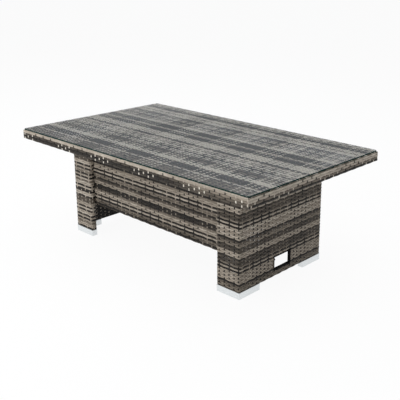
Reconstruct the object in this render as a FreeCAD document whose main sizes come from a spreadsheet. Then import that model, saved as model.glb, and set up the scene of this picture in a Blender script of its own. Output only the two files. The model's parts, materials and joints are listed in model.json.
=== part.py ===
import FreeCAD, Part
import os
import re

import Sketcher
from FreeCAD import Placement, Rotation, Vector

# A garden table with a woven top and base. The top rises on four posts round a locking gas spring.
# Origin on the floor under the middle, +X to the end with the foot hole, -Y is the front, +Z up.

SIZES = {
    # Whole table, lowered
    "table_length": 1450.0,
    "table_width": 850.0,
    "table_height": 518.0,
    "weave_thickness": 4.0,
    # Glass
    "glass_thickness": 5.0,
    "glass_inset": 4.0,
    "glass_corner_radius": 12.0,
    "glass_edge_bevel": 1.0,
    "glass_pad_thickness": 1.5,
    "glass_pad_radius": 7.0,
    "glass_pad_setback": 36.0,
    # Frame of the top
    "rim_height": 40.0,
    "rim_corner_radius": 9.0,
    "rim_edge_radius": 4.5,
    "rail_tube": 30.0,
    "tube_wall": 1.5,
    "lift_bar_height": 20.0,
    # Base
    "base_length": 1090.0,
    "base_width": 540.0,
    "base_corner_radius": 6.0,
    "base_tube": 20.0,
    "top_gap": 1.5,
    "leg_width": 126.0,
    "skirt_bottom": 163.0,
    "beam_tube": 30.0,
    # Feet
    "foot_height": 30.0,
    "foot_arm": 125.0,
    "foot_inset": 1.0,
    "foot_wall": 3.0,
    "foot_floor": 4.0,
    "glide_thickness": 2.0,
    "glide_radius": 8.0,
    # Foot hole
    "hole_width": 105.0,
    "hole_height": 56.0,
    "hole_above_tube": 9.5,
    "hole_flare": 15.0,
    "liner_wall": 3.0,
    "liner_depth": 14.0,
    "liner_proud": 0.5,
    # Posts and guides
    "post_spacing_x": 600.0,
    "post_spacing_y": 300.0,
    "post_tube": 25.0,
    "post_plate_thickness": 4.0,
    "post_plate_overhang": 20.0,
    "guide_tube_size": 32.0,
    "guide_wall": 2.0,
    "guide_setdown": 5.0,
    "bush_length": 30.0,
    "bush_flange": 3.0,
    "plug_head": 7.0,
    "plug_stem": 15.0,
    "plug_gap": 1.0,
    "bumper_radius": 9.0,
    # Clearances
    "slide_clearance": 0.2,
    "pin_clearance": 0.05,
    "lever_clearance": 0.5,
    # Screws and bolts
    "screw_radius": 3.0,
    "screw_head_radius": 5.0,
    "screw_head_height": 4.0,
    "screw_grip": 12.0,
    "bolt_length": 30.0,
    # Gas spring
    "cylinder_radius": 14.0,
    "cylinder_wall": 2.0,
    "cylinder_end": 8.0,
    "seal_length": 14.0,
    "stud_radius": 5.0,
    "nut_radius": 9.0,
    "nut_height": 8.0,
    "piston_rod_radius": 5.0,
    "piston_length": 12.0,
    "piston_top_gap": 4.0,
    "head_radius": 16.0,
    "head_height": 14.0,
    "head_gap": 4.0,
    "valve_pin_radius": 2.5,
    "valve_pin_length": 36.0,
    "valve_pin_gap": 0.3,
    "valve_spring_length": 20.0,
    "valve_spring_wire": 0.8,
    # Channel under the gas spring
    "channel_height": 45.0,
    "channel_inside": 52.0,
    "channel_wall": 3.0,
    "channel_hole_radius": 6.0,
    # Release lever
    "lever_pivot_drop": 20.0,
    "lever_pivot_offset": 13.0,
    "lever_plate": 5.0,
    "lever_hub_radius": 8.0,
    "lever_arm_width": 14.0,
    "lever_nose_radius": 4.0,
    "lever_end_radius": 8.5,
    "slot_clearance": 0.4,
    "slot_inward": 1.5,
    "slot_outward": 3.0,
    "pivot_pin_radius": 4.0,
    "pivot_pin_head_radius": 6.0,
    "pivot_pin_head": 2.0,
    "pivot_pin_end": 2.0,
    # Pull rod
    "pull_rod_radius": 4.0,
    "fork_gap_clearance": 0.4,
    "fork_ear": 4.0,
    "fork_height": 14.0,
    "fork_tip": 8.0,
    "fork_throat": 12.0,
    "fork_bridge": 8.0,
    "rod_pin_radius": 3.0,
    "rod_pin_end": 1.5,
    "rod_hole_clearance": 1.5,
    # Pedal
    "pedal_pivot_setback": 105.0,
    "pedal_pivot_height": 102.0,
    "pedal_hub_radius": 9.0,
    "pedal_plate": 5.0,
    "tread_reach": 46.0,
    "tread_length": 26.0,
    "tread_drop": 38.0,
    "tread_pad_thickness": 3.0,
    "tread_pad_margin": 2.0,
    "tread_rib_height": 1.0,
    "tread_rib_width": 2.0,
    # Bracket of the pedal
    "bracket_plate": 4.0,
    "bracket_ear": 3.0,
    "bracket_height": 48.0,
    "bracket_ear_radius": 10.0,
    "bracket_ear_lift": 14.0,
    "bracket_bolt_spacing": 28.0,
    # Tool overrun of every cut
    "overrun": 2.0,
}

DERIVED = {
    "half_length": "table_length / 2",
    "half_width": "table_width / 2",
    "glass_under": "table_height - glass_thickness",
    "deck_top": "glass_under - glass_pad_thickness",
    "deck_under": "deck_top - weave_thickness",
    "rim_under": "deck_top - rim_height",
    "rail_under": "deck_under - rail_tube",
    "rail_inner_y": "half_width - weave_thickness - rail_tube",
    "base_top": "rim_under - top_gap",
    "base_x": "base_length / 2",
    "base_y": "base_width / 2",
    "panel_thickness": "base_tube + 2 * weave_thickness",
    "leg_x": "base_x - leg_width",
    "skirt_y": "base_y - weave_thickness - base_tube",
    "skirt_inner_y": "skirt_y - panel_thickness",
    "skirt_rail_y": "skirt_y - weave_thickness - base_tube",
    "skirt_rail_z": "skirt_bottom + weave_thickness",
    "beam_top": "skirt_rail_z + beam_tube",
    "rod_z": "skirt_rail_z + beam_tube / 2",
    "hole_bottom": "foot_height + base_tube + hole_above_tube",
    "hole_top": "hole_bottom + hole_height",
    "hole_side": "hole_width / 2 + liner_wall",
    "cap_floor_top": "glide_thickness + foot_floor",
    "post_x": "post_spacing_x / 2",
    "post_y": "post_spacing_y / 2",
    "guide_top": "base_top - guide_setdown",
    "guide_inside": "guide_tube_size - 2 * guide_wall",
    "post_bottom": "beam_top + plug_gap + plug_head",
    "plate_under": "rail_under - post_plate_thickness",
    "post_screw_y": "post_tube / 2 + post_plate_overhang / 2",
    "channel_top": "beam_top + channel_height",
    "channel_half": "channel_inside / 2",
    "channel_side": "channel_half + channel_wall",
    "cylinder_bottom": "channel_top + head_height + head_gap",
    "seal_top": "cylinder_bottom + seal_length",
    "bore_radius": "cylinder_radius - cylinder_wall",
    "bore_top": "rail_under - cylinder_end",
    "piston_top": "bore_top - piston_top_gap",
    "piston_under": "piston_top - piston_length",
    "stud_top": "rail_under + lift_bar_height + nut_height",
    "lever_z": "channel_top - lever_pivot_drop",
    "lever_x": "-lever_pivot_offset",
    "valve_pin_bottom": "lever_z + lever_nose_radius + valve_pin_gap",
    "valve_pin_top": "valve_pin_bottom + valve_pin_length",
    "valve_bore_radius": "valve_pin_radius + pin_clearance",
    "valve_bore_top": "valve_pin_top + valve_spring_length",
    "pedal_x": "base_x - pedal_pivot_setback",
    "fork_half_gap": "lever_plate / 2 + fork_gap_clearance",
    "fork_half_width": "fork_half_gap + fork_ear",
    "bracket_x": "base_x - panel_thickness - bracket_plate",
    "bracket_bottom": "hole_top + liner_wall",
    "head_rail_z": "hole_top + liner_wall",
}

SCREW_HOLE = "screw_radius + pin_clearance"
# The ribs of the tread lie at these shares of its pad's length.
RIB_PLACE_SHARES = (0.14, 0.38, 0.62, 0.86)

SIDES = {"front": -1, "back": 1}
ENDS = {"left": -1, "right": 1}
CORNERS = {f"{side}_{end}": (ENDS[end], SIDES[side]) for side in SIDES for end in ENDS}

# A primitive stands on +Z: these turn it to lie along another direction.
TURNS = {
    "x": Rotation(Vector(0, 1, 0), 90),
    "-x": Rotation(Vector(0, 1, 0), -90),
    "y": Rotation(Vector(1, 0, 0), -90),
    "-y": Rotation(Vector(1, 0, 0), 90),
    "z": Rotation(),
    "-z": Rotation(Vector(1, 0, 0), 180),
}

doc = FreeCAD.newDocument("rising_table")
sheet = doc.addObject("Spreadsheet::Sheet", "dims")
sub_parts = []


def fill_sheet():
    """Every driving size gets a cell with an alias, and every derived size a formula."""
    rows = [(name, str(number)) for name, number in SIZES.items()]
    rows += [(name, "=" + formula) for name, formula in DERIVED.items()]
    for row, (name, content) in enumerate(rows, start=1):
        sheet.set(f"A{row}", name)
        sheet.set(f"B{row}", content)
        sheet.setAlias(f"B{row}", name)
    doc.recompute()


def tied(formula):
    """The formula with each size name pointed at the sheet."""

    def point(match):
        word = match.group()
        return f"dims.{word}" if word in SIZES or word in DERIVED else word

    return re.sub(r"[a-z][a-z0-9_]*", point, formula)


def tie(item, path, formula):
    item.setExpression(path, tied(formula))


def value(formula):
    return float(sheet.evalExpression(tied(formula)))


def keep(item, node):
    """Marks a finished sub-part and gives it the name of its file."""
    item.Label = node
    sub_parts.append(item)
    return item


def signed(sign, formula):
    return f"({formula})" if sign > 0 else f"-({formula})"


def span(sign, near, far):
    """The stretch between near and far from the middle, on the side of the sign."""
    return (near, far) if sign > 0 else (f"-({far})", f"-({near})")


def both(reach):
    return f"-({reach})", f"({reach})"


def around(middle, width):
    return f"({middle}) - ({width}) / 2", f"({middle}) + ({width}) / 2"


def place(item, spot):
    for letter, formula in zip("xyz", spot):
        tie(item, f"Placement.Base.{letter}", formula)


def box(name, x_span, y_span, z_span):
    item = doc.addObject("Part::Box", name)
    for side, (low, high) in zip(("Length", "Width", "Height"), (x_span, y_span, z_span)):
        tie(item, side, f"({high}) - ({low})")
    place(item, (x_span[0], y_span[0], z_span[0]))
    return item


def cylinder(name, way, spot, radius, length):
    """A cylinder that starts at the spot and runs the way of an axis."""
    item = doc.addObject("Part::Cylinder", name)
    tie(item, "Radius", radius)
    tie(item, "Height", length)
    item.Placement = Placement(Vector(), TURNS[way])
    place(item, spot)
    return item


def hexagon(name, way, spot, radius, length):
    item = doc.addObject("Part::Prism", name)
    item.Polygon = 6
    tie(item, "Circumradius", radius)
    tie(item, "Height", length)
    item.Placement = Placement(Vector(), TURNS[way])
    place(item, spot)
    return item


def fuse(name, pieces):
    item = doc.addObject("Part::MultiFuse", name)
    item.Shapes = pieces
    item.Refine = True
    return item


def cut(name, base, tools):
    tool = tools[0] if len(tools) == 1 else fuse(f"{name}_tools", tools)
    item = doc.addObject("Part::Cut", name)
    item.Base = base
    item.Tool = tool
    return item


def group(name, pieces):
    item = doc.addObject("Part::Compound", name)
    item.Links = pieces
    return item


def tube(name, axis, spans, wall):
    """A rectangular tube along an axis, open at both ends."""
    inner = []
    for letter, (low, high) in zip("xyz", spans):
        if letter == axis:
            inner.append((f"({low}) - overrun", f"({high}) + overrun"))
        else:
            inner.append((f"({low}) + {wall}", f"({high}) - {wall}"))
    return cut(name, box(f"{name}_outside", *spans), [box(f"{name}_inside", *inner)])


def hole(name, way, spot, radius, length):
    """The tool of a hole that starts one overrun before the spot and ends one after its length."""
    sign = -1 if way.startswith("-") else 1
    place_of = list(spot)
    index = "xyz".index(way[-1])
    place_of[index] = f"({spot[index]}) - ({sign}) * overrun"
    return cylinder(name, way, place_of, radius, f"({length}) + 2 * overrun")


def new_body(name):
    return doc.addObject("PartDesign::Body", name)


def outline(body, name, role, points, lift="0"):
    """A closed outline on an origin plane of the body, with every corner tied to the sheet."""
    sketch = body.newObject("Sketcher::SketchObject", name)
    plane = next(item for item in body.Origin.OriginFeatures if item.Role == role)
    sketch.AttachmentSupport = (plane, [""])
    sketch.MapMode = "FlatFace"
    tie(sketch, "AttachmentOffset.Base.z", lift)
    spots = [Vector(value(across), value(along), 0) for across, along in points]
    count = len(spots)
    for index in range(count):
        sketch.addGeometry(Part.LineSegment(spots[index], spots[(index + 1) % count]), False)
    for index in range(count):
        follower = (index + 1) % count
        sketch.addConstraint(Sketcher.Constraint("Coincident", index, 2, follower, 1))
    for index, (formulas, spot) in enumerate(zip(points, spots)):
        for kind, formula, start in zip(("DistanceX", "DistanceY"), formulas, spot):
            number = sketch.addConstraint(Sketcher.Constraint(kind, -1, 1, index, 1, start))
            label = f"{kind}_{index}"
            sketch.renameConstraint(number, label)
            tie(sketch, f"Constraints.{label}", formula)
    return sketch


def rectangle(x_span, y_span):
    return [
        (x_span[0], y_span[0]),
        (x_span[1], y_span[0]),
        (x_span[1], y_span[1]),
        (x_span[0], y_span[1]),
    ]


def pad(body, name, sketch, length, side="One side"):
    feature = body.newObject("PartDesign::Pad", name)
    feature.Profile = sketch
    feature.SideType = side
    tie(feature, "Length", length)
    return feature


def pocket(body, name, sketch, length, side="One side", backwards=False):
    """A pocket runs against the outline's own normal, or along it when backwards."""
    feature = body.newObject("PartDesign::Pocket", name)
    feature.Profile = sketch
    feature.SideType = side
    feature.Reversed = backwards
    tie(feature, "Length", length)
    return feature


def turned(node, points):
    """A body of revolution about the table's middle axis, from points of radius and height."""
    body = new_body(node)
    sketch = outline(body, f"{node}_profile", "XZ_Plane", points)
    feature = body.newObject("PartDesign::Revolution", f"{node}_turn")
    feature.Profile = sketch
    feature.ReferenceAxis = (sketch, ["V_Axis"])
    feature.Angle = 360
    return body


def soften(body, kind, name, base, size, pick):
    """A fillet or chamfer on the picked edges of a feature."""
    doc.recompute()
    edges = [f"Edge{number}" for number, edge in enumerate(base.Shape.Edges, 1) if pick(edge)]
    feature = body.newObject(f"PartDesign::{kind}", name)
    feature.Base = (base, edges)
    tie(feature, "Radius" if kind == "Fillet" else "Size", size)
    return feature


def is_upright(edge):
    low, high = edge.BoundBox.ZMin, edge.BoundBox.ZMax
    return edge.BoundBox.XLength + edge.BoundBox.YLength < 0.01 * (high - low)


def lies_at(edge, height):
    return edge.BoundBox.ZLength < value("pin_clearance") and abs(
        edge.BoundBox.ZMin - height
    ) < value("pin_clearance")


def welded_frame(name, members):
    """Tubes welded into one piece, with one hollow that opens where a member says so."""
    outside = [box(f"{name}_tube", *spans) for spans, _ in members]
    inside = []
    for spans, open_ends in members:
        shrunk = []
        for letter, (low, high) in zip("xyz", spans):
            low_end = "- overrun" if f"-{letter}" in open_ends else "+ tube_wall"
            high_end = "+ overrun" if f"+{letter}" in open_ends else "- tube_wall"
            shrunk.append((f"({low}) {low_end}", f"({high}) {high_end}"))
        inside.append(box(f"{name}_bore", *shrunk))
    return cut(name, fuse(f"{name}_outside", outside), [fuse(f"{name}_inside", inside)])


def make_glass():
    body = new_body("glass_top")
    corners = rectangle(both("half_length - glass_inset"), both("half_width - glass_inset"))
    sketch = outline(body, "glass_outline", "XY_Plane", corners, "glass_under")
    sheet_pad = pad(body, "glass_sheet", sketch, "glass_thickness")
    rounded = soften(body, "Fillet", "glass_corners", sheet_pad, "glass_corner_radius", is_upright)
    soften(
        body,
        "Chamfer",
        "glass_edges",
        rounded,
        "glass_edge_bevel",
        lambda edge: not is_upright(edge) and edge.BoundBox.ZLength < value("pin_clearance"),
    )
    keep(body, "glass_top")

    pads = []
    far_x = "half_length - glass_inset - glass_pad_setback"
    far_y = "half_width - glass_inset - glass_pad_setback"
    spots = [(signed(end, far_x), signed(side, far_y)) for end, side in CORNERS.values()]
    spots += [("0", signed(side, far_y)) for side in SIDES.values()]
    spots += [(signed(end, "post_x"), "0") for end in ENDS.values()]
    for x_spot, y_spot in spots:
        spot = (x_spot, y_spot, "deck_top")
        pads.append(cylinder("glass_pad", "z", spot, "glass_pad_radius", "glass_pad_thickness"))
    keep(group("glass_pad_set", pads), "glass_pads")


def make_top_weave():
    body = new_body("top_weave")
    corners = rectangle(both("half_length"), both("half_width"))
    sketch = outline(body, "top_outline", "XY_Plane", corners, "rim_under")
    block = pad(body, "top_block", sketch, "rim_height")
    rounded = soften(body, "Fillet", "top_corners", block, "rim_corner_radius", is_upright)
    soften(
        body,
        "Fillet",
        "top_edge",
        rounded,
        "rim_edge_radius",
        lambda edge: lies_at(edge, value("deck_top")),
    )
    inside = rectangle(
        both("half_length - weave_thickness"), both("half_width - weave_thickness")
    )
    sketch = outline(body, "top_inside", "XY_Plane", inside, "rim_under")
    pocket(body, "top_hollow", sketch, "rim_height - weave_thickness", backwards=True)
    keep(body, "top_weave")


def make_top_frame():
    rail_z = ("rail_under", "deck_under")
    long_x = both("half_length - weave_thickness")
    for side, sign in SIDES.items():
        rail_y = span(sign, "rail_inner_y", "half_width - weave_thickness")
        keep(tube(f"rail_{side}", "x", (long_x, rail_y, rail_z), "tube_wall"), f"top_rail_{side}")
    for end, sign in ENDS.items():
        far = "half_length - weave_thickness"
        rail_x = span(sign, f"{far} - rail_tube", far)
        spans = (rail_x, both("rail_inner_y"), rail_z)
        keep(tube(f"rail_{end}", "y", spans, "tube_wall"), f"top_rail_{end}")
    for end, sign in ENDS.items():
        bar_x = around(signed(sign, "post_x"), "rail_tube")
        bar = tube(f"bar_{end}", "y", (bar_x, both("rail_inner_y"), rail_z), "tube_wall")
        holes = [
            hole("bar_hole", "z", (spot[0], spot[1], "rail_under"), SCREW_HOLE, "tube_wall")
            for spot in post_screw_spots(sign)
        ]
        keep(cut(f"bar_{end}_drilled", bar, holes), f"post_bar_{end}")
    bar_z = ("rail_under", "rail_under + lift_bar_height")
    spans = (both("rail_tube / 2"), both("rail_inner_y"), bar_z)
    bar = tube("lift_bar_tube", "y", spans, "tube_wall")
    stud_hole = hole(
        "stud_hole", "z", ("0", "0", "rail_under"), "stud_radius + pin_clearance", "lift_bar_height"
    )
    keep(cut("lift_bar_drilled", bar, [stud_hole]), "lift_bar")


def post_screw_spots(sign):
    """Where the screws stand at the two posts of one end."""
    spots = []
    for side in SIDES.values():
        for step in (-1, 1):
            spots.append((signed(sign, "post_x"), f"{side} * post_y + {step} * post_screw_y"))
    return spots


def make_posts():
    screws = []
    plugs = []
    for corner, (end, side) in CORNERS.items():
        x_spot, y_spot = signed(end, "post_x"), signed(side, "post_y")
        spans = (around(x_spot, "post_tube"), around(y_spot, "post_tube"))
        shaft = tube(f"post_{corner}", "z", (*spans, ("post_bottom", "plate_under")), "tube_wall")
        plate = box(
            f"post_plate_{corner}",
            around(x_spot, "rail_tube"),
            around(y_spot, "post_tube + 2 * post_plate_overhang"),
            ("plate_under", "rail_under"),
        )
        welded = fuse(f"post_welded_{corner}", [shaft, plate])
        spots = []
        for step in (-1, 1):
            spots.append((x_spot, f"{side} * post_y + {step} * post_screw_y", "plate_under"))
        holes = [hole("plate_hole", "z", spot, SCREW_HOLE, "post_plate_thickness") for spot in spots]
        keep(cut(f"post_drilled_{corner}", welded, holes), f"inner_post_{corner}")
        for spot in spots:
            head = cylinder("post_screw_head", "-z", spot, "screw_head_radius", "screw_head_height")
            shank = cylinder("post_screw_shank", "z", spot, "screw_radius", "screw_grip")
            screws.append(fuse("post_screw", [head, shank]))
        head_width = "guide_inside - 2 * slide_clearance"
        head = box(
            "plug_head",
            around(x_spot, head_width),
            around(y_spot, head_width),
            ("post_bottom - plug_head", "post_bottom"),
        )
        stem_width = "post_tube - 2 * tube_wall - 2 * slide_clearance"
        stem = box(
            "plug_stem",
            around(x_spot, stem_width),
            around(y_spot, stem_width),
            ("post_bottom", "post_bottom + plug_stem"),
        )
        plugs.append(fuse("plug", [head, stem]))
    keep(group("post_screw_set", screws), "post_screws")
    keep(group("post_plug_set", plugs), "post_plugs")


def make_guides():
    bushes = []
    for corner, (end, side) in CORNERS.items():
        x_spot, y_spot = signed(end, "post_x"), signed(side, "post_y")
        spans = (around(x_spot, "guide_tube_size"), around(y_spot, "guide_tube_size"))
        guide = tube(f"guide_{corner}", "z", (*spans, ("beam_top", "guide_top")), "guide_wall")
        keep(guide, f"guide_tube_{corner}")
        sleeve = box(
            "bush_sleeve",
            around(x_spot, "guide_inside"),
            around(y_spot, "guide_inside"),
            ("guide_top - bush_length", "guide_top"),
        )
        flange = box("bush_flange", *spans, ("guide_top", "guide_top + bush_flange"))
        window_width = "post_tube + 2 * slide_clearance"
        window = box(
            "bush_window",
            around(x_spot, window_width),
            around(y_spot, window_width),
            ("guide_top - bush_length - overrun", "guide_top + bush_flange + overrun"),
        )
        bushes.append(cut("bush", fuse("bush_solid", [sleeve, flange]), [window]))
    keep(group("bush_set", bushes), "guide_bushes")


# Bolts: each has a way, a seat for its head, and the sub-parts that it passes through.
def skirt_bolts(end, side):
    """The two bolts that join one corner of the base, from inside the skirt frame outwards."""
    x_spot = signed(end, "leg_x + weave_thickness + base_tube / 2")
    seat = signed(side, "skirt_rail_y")
    heights = ("base_top - base_tube / 2", "skirt_rail_z + base_tube / 2")
    return [("y" if side > 0 else "-y", (x_spot, seat, height)) for height in heights]


def bracket_bolts():
    """The two bolts that hold the pedal bracket to the end frame."""
    height = "head_rail_z + base_tube / 2"
    return [
        ("x", ("bracket_x", f"{step} * bracket_bolt_spacing / 2", height)) for step in (-1, 1)
    ]


def bolt_holes(bolts):
    return [hole("bolt_hole", way, spot, SCREW_HOLE, "bolt_length") for way, spot in bolts]


def make_bolts():
    solids = []
    every = bracket_bolts()
    for end, side in CORNERS.values():
        every += skirt_bolts(end, side)
    for way, spot in every:
        opposite = way[1:] if way.startswith("-") else f"-{way}"
        head = hexagon("bolt_head", opposite, spot, "screw_head_radius", "screw_head_height")
        shank = cylinder("bolt_shank", way, spot, "screw_radius", "bolt_length")
        solids.append(fuse("bolt", [head, shank]))
    keep(group("bolt_set", solids), "frame_bolts")


def make_end(end):
    """One end of the base: its woven panel and the welded frame of the panel and two legs."""
    sign = ENDS[end]
    wall = "weave_thickness"
    body = new_body(f"end_block_{end}")
    corners = rectangle(span(sign, "base_x - panel_thickness", "base_x"), both("base_y"))
    sketch = outline(body, f"end_outline_{end}", "XY_Plane", corners, "foot_height")
    block = pad(body, f"end_pad_{end}", sketch, "base_top - foot_height")
    outer_x = value("base_x")
    soften(
        body,
        "Fillet",
        f"end_corners_{end}",
        block,
        "base_corner_radius",
        lambda edge: is_upright(edge) and abs(abs(edge.BoundBox.XMin) - outer_x) < 1,
    )
    panel_z = ("foot_height - overrun", "base_top + overrun")
    tube_x = span(sign, "base_x - weave_thickness - base_tube", "base_x - weave_thickness")
    tools = [box("end_hollow", tube_x, both(f"base_y - {wall}"), panel_z)]
    inner_face = "base_x - panel_thickness"
    inner_wall_x = span(sign, f"{inner_face} - overrun", f"{inner_face} + {wall} + overrun")
    top_z = ("base_top - base_tube", "base_top")
    low_z = ("foot_height", "foot_height + base_tube")
    for side in SIDES.values():
        rail_y = span(side, f"base_y - {wall} - base_tube", f"base_y - {wall}")
        tools.append(box("rail_notch", inner_wall_x, rail_y, (top_z[0], "base_top + overrun")))
        tools.append(box("rail_notch", inner_wall_x, rail_y, ("foot_height - overrun", low_z[1])))
    if end == "right":
        outer_wall_x = span(sign, f"base_x - {wall} - overrun", "base_x + overrun")
        hole_z = ("hole_bottom - liner_wall", "hole_top + liner_wall")
        tools.append(box("foot_hole", outer_wall_x, both("hole_side"), hole_z))
        inside_z = ("foot_height + base_tube", "hole_top + liner_wall")
        tools.append(box("foot_hole_inside", inner_wall_x, both("hole_side + hole_flare"), inside_z))
        tools += bolt_holes(bracket_bolts())
    keep(cut(f"end_panel_{end}", body, tools), f"end_weave_{end}")

    members = []
    post_z = ("cap_floor_top", "base_top")
    leg_rail_x = span(sign, "leg_x + weave_thickness", "base_x - weave_thickness")
    leg_post_x = span(sign, "leg_x + weave_thickness", "leg_x + weave_thickness + base_tube")
    for side in SIDES.values():
        tube_y = span(side, f"base_y - {wall} - base_tube", f"base_y - {wall}")
        members.append(((tube_x, tube_y, post_z), ("-z",)))
        members.append(((leg_post_x, tube_y, post_z), ("-z",)))
        members.append(((leg_rail_x, tube_y, top_z), ()))
        members.append(((leg_rail_x, tube_y, low_z), ()))
        stile_y = span(side, "hole_side + hole_flare", "hole_side + hole_flare + base_tube")
        members.append(((tube_x, stile_y, ("foot_height", "base_top")), ()))
    across = both(f"base_y - {wall}")
    members.append(((tube_x, across, top_z), ()))
    members.append(((tube_x, across, low_z), ()))
    bolts = skirt_bolts(sign, -1) + skirt_bolts(sign, 1)
    if end == "right":
        head_z = ("head_rail_z", "head_rail_z + base_tube")
        members.append(((tube_x, both("hole_side + hole_flare + base_tube"), head_z), ()))
        bolts += bracket_bolts()
    frame = welded_frame(f"end_tubes_{end}", members)
    keep(cut(f"end_tubes_drilled_{end}", frame, bolt_holes(bolts)), f"end_frame_{end}")


def make_leg(corner):
    """The woven sleeve of one leg's return, open where it meets the end panel."""
    end, side = CORNERS[corner]
    outer = box(
        f"leg_block_{corner}",
        span(end, "leg_x", "base_x - panel_thickness"),
        span(side, "base_y - panel_thickness", "base_y"),
        ("foot_height", "base_top"),
    )
    hollow = box(
        "leg_hollow",
        span(end, "leg_x + weave_thickness", "base_x - panel_thickness + overrun"),
        span(side, "base_y - weave_thickness - base_tube", "base_y - weave_thickness"),
        ("foot_height - overrun", "base_top + overrun"),
    )
    bolts = [
        cylinder(
            "leg_bolt_hole",
            way,
            (spot[0], signed(side, "skirt_rail_y + base_tube - overrun"), spot[2]),
            SCREW_HOLE,
            "weave_thickness + 2 * overrun",
        )
        for way, spot in skirt_bolts(end, side)
    ]
    keep(cut(f"leg_sleeve_{corner}", outer, [hollow, *bolts]), f"leg_weave_{corner}")


def make_skirt(side_name):
    """One long side of the base: the woven sleeve and the ladder frame inside it."""
    side = SIDES[side_name]
    tube_y = span(side, "skirt_rail_y", "skirt_y - weave_thickness")
    outer = box(
        f"skirt_block_{side_name}",
        both("leg_x"),
        span(side, "skirt_inner_y", "skirt_y"),
        ("skirt_bottom", "base_top"),
    )
    tools = [
        box("skirt_hollow", both("leg_x + overrun"), tube_y, ("skirt_rail_z", "base_top + overrun"))
    ]
    notch_y = span(side, "skirt_inner_y - overrun", "skirt_rail_y + overrun")
    for end in ENDS.values():
        beam_x = around(signed(end, "post_x"), "beam_tube")
        tools.append(box("beam_notch", beam_x, notch_y, ("skirt_rail_z", "beam_top")))
        tools.append(box("tie_notch", tie_x(end), notch_y, ("guide_top - base_tube", "guide_top")))
    keep(cut(f"skirt_sleeve_{side_name}", outer, tools), f"skirt_weave_{side_name}")

    reach = "leg_x + weave_thickness + base_tube"
    top_z = ("base_top - base_tube", "base_top")
    low_z = ("skirt_rail_z", "skirt_rail_z + base_tube")
    members = [((both(reach), tube_y, level), ("-x", "+x")) for level in (top_z, low_z)]
    stiles = [around("0", "base_tube")]
    stiles += [around(signed(end, "post_x"), "base_tube") for end in ENDS.values()]
    for stile in stiles:
        members.append(((stile, tube_y, ("skirt_rail_z", "base_top")), ()))
    frame = welded_frame(f"skirt_tubes_{side_name}", members)
    bolts = skirt_bolts(-1, side) + skirt_bolts(1, side)
    keep(cut(f"skirt_drilled_{side_name}", frame, bolt_holes(bolts)), f"skirt_frame_{side_name}")


def tie_x(end):
    """An upper tie lies against the outer faces of the two guide tubes of its end."""
    near = "post_x + guide_tube_size / 2"
    return span(end, near, f"{near} + base_tube")


def make_beams():
    for end, sign in ENDS.items():
        spans = (
            around(signed(sign, "post_x"), "beam_tube"),
            both("skirt_rail_y"),
            ("skirt_rail_z", "beam_top"),
        )
        beam = tube(f"beam_{end}", "y", spans, "tube_wall")
        if end == "right":
            start = ("post_x - beam_tube / 2", "0", "rod_z")
            radius = "pull_rod_radius + rod_hole_clearance"
            beam = cut("beam_right_drilled", beam, [hole("rod_hole", "x", start, radius, "beam_tube")])
        keep(beam, f"lower_beam_{end}")
        spans = (tie_x(sign), both("skirt_rail_y"), ("guide_top - base_tube", "guide_top"))
        keep(tube(f"tie_{end}", "y", spans, "tube_wall"), f"upper_tie_{end}")
    bumpers = []
    for end, side in CORNERS.values():
        spot = (signed(end, "post_x"), signed(side, "skirt_rail_y + base_tube / 2"), "base_top")
        bumpers.append(cylinder("bumper", "z", spot, "bumper_radius", "rail_under - base_top"))
    keep(group("bumper_set", bumpers), "rest_bumpers")


def make_lift_beam():
    """The channel that carries the gas spring, open downwards, on the two lower beams."""
    x_span = both("post_x + beam_tube / 2")
    outer = box("channel_block", x_span, both("channel_side"), ("beam_top", "channel_top"))
    tools = [
        box(
            "channel_hollow",
            both("post_x + beam_tube / 2 + overrun"),
            both("channel_half"),
            ("beam_top - overrun", "channel_top - channel_wall"),
        ),
        hole(
            "channel_hole",
            "z",
            ("0", "0", "channel_top - channel_wall"),
            "channel_hole_radius",
            "channel_wall",
        ),
        hole(
            "lever_pin_hole",
            "y",
            ("lever_x", "-channel_side", "lever_z"),
            "pivot_pin_radius + pin_clearance",
            "2 * channel_side",
        ),
    ]
    keep(cut("channel", outer, tools), "lift_beam")


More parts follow.
